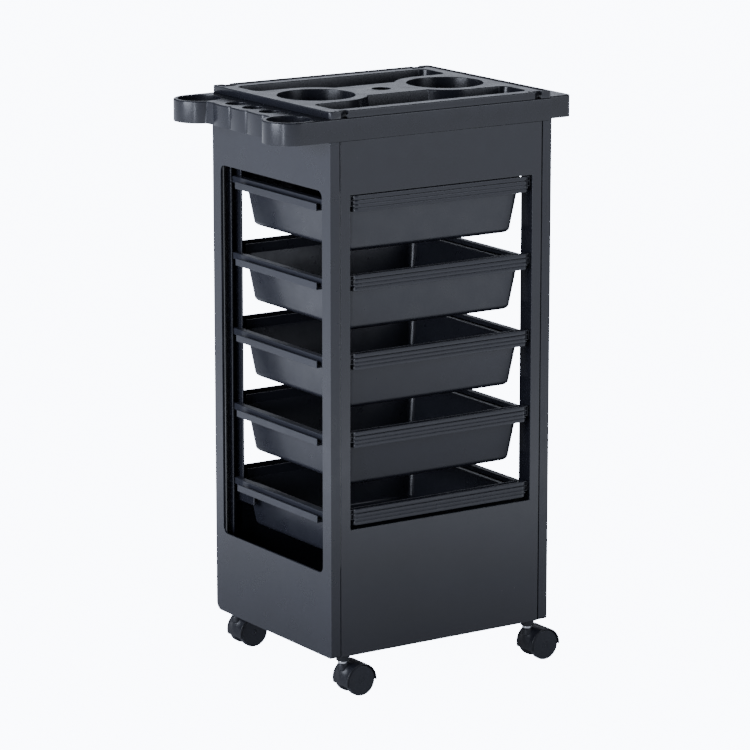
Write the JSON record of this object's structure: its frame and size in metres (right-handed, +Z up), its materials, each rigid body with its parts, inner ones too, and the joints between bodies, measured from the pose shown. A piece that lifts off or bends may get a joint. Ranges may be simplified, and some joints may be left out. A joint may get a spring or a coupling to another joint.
{
  "type": "rolling salon trolley",
  "caption": "Rolling salon trolley with open sides, sliding tub drawers, a tool tray top, dryer hoops, a push handle and swivel casters.",
  "frame": {"origin": "on the floor, under the middle of the whole outline", "axes": "+Z up, -Y to the front where the drawers are pulled, +X to the right, towards the push handle"},
  "size_m": [0.5026, 0.3316, 0.8467],
  "materials": {
    "panel_plastic": "satin moulded, dark blue-grey",
    "frame_plastic": "satin moulded, dark blue-grey",
    "tray_plastic": "fine moulded grain, charcoal",
    "drawer_plastic": "fine moulded grain, charcoal",
    "rail_plastic": "moulded, charcoal",
    "caster_plastic": "moulded nylon, black",
    "wheel_plastic": "moulded nylon, black",
    "chrome": "polished",
    "steel": "zinc-plated"
  },
  "bodies": {
    "cabinet": {"left_end_panel": "panel_plastic", "right_end_panel": "panel_plastic", "front_frame": "frame_plastic", "rear_frame": "frame_plastic", "base_plate": "rail_plastic", "top_frame": "tray_plastic", "tool_tray": "tray_plastic", "runner_rail_1_left": "rail_plastic", "runner_rail_1_right": "rail_plastic", "runner_rail_2_left": "rail_plastic", "runner_rail_2_right": "rail_plastic", "runner_rail_3_left": "rail_plastic", "runner_rail_3_right": "rail_plastic", "runner_rail_4_left": "rail_plastic", "runner_rail_4_right": "rail_plastic", "runner_rail_5_left": "rail_plastic", "runner_rail_5_right": "rail_plastic", "caster_socket_front_left": "caster_plastic", "caster_socket_rear_left": "caster_plastic", "caster_socket_front_right": "caster_plastic", "caster_socket_rear_right": "caster_plastic", "caster_stem_front_left": "chrome", "caster_stem_rear_left": "chrome", "caster_stem_front_right": "chrome", "caster_stem_rear_right": "chrome", "base_screw_1": "steel", "base_screw_2": "steel", "base_screw_3": "steel", "base_screw_4": "steel", "top_screw_1": "steel", "top_screw_2": "steel", "top_screw_3": "steel", "top_screw_4": "steel"},
    "drawer_1": {"drawer_1": "drawer_plastic"},
    "drawer_2": {"drawer_2": "drawer_plastic"},
    "drawer_3": {"drawer_3": "drawer_plastic"},
    "drawer_4": {"drawer_4": "drawer_plastic"},
    "drawer_5": {"drawer_5": "drawer_plastic"},
    "caster_front_left": {"caster_hood_front_left": "caster_plastic", "caster_axle_front_left": "steel"},
    "wheel_front_left_front": {"caster_wheel_front_left_front": "wheel_plastic"},
    "wheel_front_left_rear": {"caster_wheel_front_left_rear": "wheel_plastic"},
    "caster_rear_left": {"caster_hood_rear_left": "caster_plastic", "caster_axle_rear_left": "steel"},
    "wheel_rear_left_front": {"caster_wheel_rear_left_front": "wheel_plastic"},
    "wheel_rear_left_rear": {"caster_wheel_rear_left_rear": "wheel_plastic"},
    "caster_front_right": {"caster_hood_front_right": "caster_plastic", "caster_axle_front_right": "steel"},
    "wheel_front_right_front": {"caster_wheel_front_right_front": "wheel_plastic"},
    "wheel_front_right_rear": {"caster_wheel_front_right_rear": "wheel_plastic"},
    "caster_rear_right": {"caster_hood_rear_right": "caster_plastic", "caster_axle_rear_right": "steel"},
    "wheel_rear_right_front": {"caster_wheel_rear_right_front": "wheel_plastic"},
    "wheel_rear_right_rear": {"caster_wheel_rear_right_rear": "wheel_plastic"}
  },
  "joints": [
    {"name": "drawer_1_slide", "type": "slide", "parent": "cabinet", "child": "drawer_1", "axis": [0, -1, 0], "range_m": [-0.21, 0.21]},
    {"name": "drawer_2_slide", "type": "slide", "parent": "cabinet", "child": "drawer_2", "axis": [0, -1, 0], "range_m": [-0.21, 0.21]},
    {"name": "drawer_3_slide", "type": "slide", "parent": "cabinet", "child": "drawer_3", "axis": [0, -1, 0], "range_m": [-0.21, 0.21]},
    {"name": "drawer_4_slide", "type": "slide", "parent": "cabinet", "child": "drawer_4", "axis": [0, -1, 0], "range_m": [-0.21, 0.21]},
    {"name": "drawer_5_slide", "type": "slide", "parent": "cabinet", "child": "drawer_5", "axis": [0, -1, 0], "range_m": [-0.014, 0.014]},
    {"name": "caster_front_left_swivel", "type": "hinge", "parent": "cabinet", "child": "caster_front_left", "pos_m": [-0.14325, -0.146, 0.04], "axis": [0, 0, 1], "continuous": true},
    {"name": "wheel_front_left_front_spin", "type": "hinge", "parent": "caster_front_left", "child": "wheel_front_left_front", "pos_m": [-0.12325, -0.146, 0.0225], "axis": [0, 1, 0], "continuous": true},
    {"name": "wheel_front_left_rear_spin", "type": "hinge", "parent": "caster_front_left", "child": "wheel_front_left_rear", "pos_m": [-0.12325, -0.146, 0.0225], "axis": [0, 1, 0], "continuous": true},
    {"name": "caster_rear_left_swivel", "type": "hinge", "parent": "cabinet", "child": "caster_rear_left", "pos_m": [-0.14325, 0.146, 0.04], "axis": [0, 0, 1], "continuous": true},
    {"name": "wheel_rear_left_front_spin", "type": "hinge", "parent": "caster_rear_left", "child": "wheel_rear_left_front", "pos_m": [-0.12325, 0.146, 0.0225], "axis": [0, 1, 0], "continuous": true},
    {"name": "wheel_rear_left_rear_spin", "type": "hinge", "parent": "caster_rear_left", "child": "wheel_rear_left_rear", "pos_m": [-0.12325, 0.146, 0.0225], "axis": [0, 1, 0], "continuous": true},
    {"name": "caster_front_right_swivel", "type": "hinge", "parent": "cabinet", "child": "caster_front_right", "pos_m": [0.18075, -0.146, 0.04], "axis": [0, 0, 1], "continuous": true},
    {"name": "wheel_front_right_front_spin", "type": "hinge", "parent": "caster_front_right", "child": "wheel_front_right_front", "pos_m": [0.20075, -0.146, 0.0225], "axis": [0, 1, 0], "continuous": true},
    {"name": "wheel_front_right_rear_spin", "type": "hinge", "parent": "caster_front_right", "child": "wheel_front_right_rear", "pos_m": [0.20075, -0.146, 0.0225], "axis": [0, 1, 0], "continuous": true},
    {"name": "caster_rear_right_swivel", "type": "hinge", "parent": "cabinet", "child": "caster_rear_right", "pos_m": [0.18075, 0.146, 0.04], "axis": [0, 0, 1], "continuous": true},
    {"name": "wheel_rear_right_front_spin", "type": "hinge", "parent": "caster_rear_right", "child": "wheel_rear_right_front", "pos_m": [0.20075, 0.146, 0.0225], "axis": [0, 1, 0], "continuous": true},
    {"name": "wheel_rear_right_rear_spin", "type": "hinge", "parent": "caster_rear_right", "child": "wheel_rear_right_rear", "pos_m": [0.20075, 0.146, 0.0225], "axis": [0, 1, 0], "continuous": true}
  ]
}
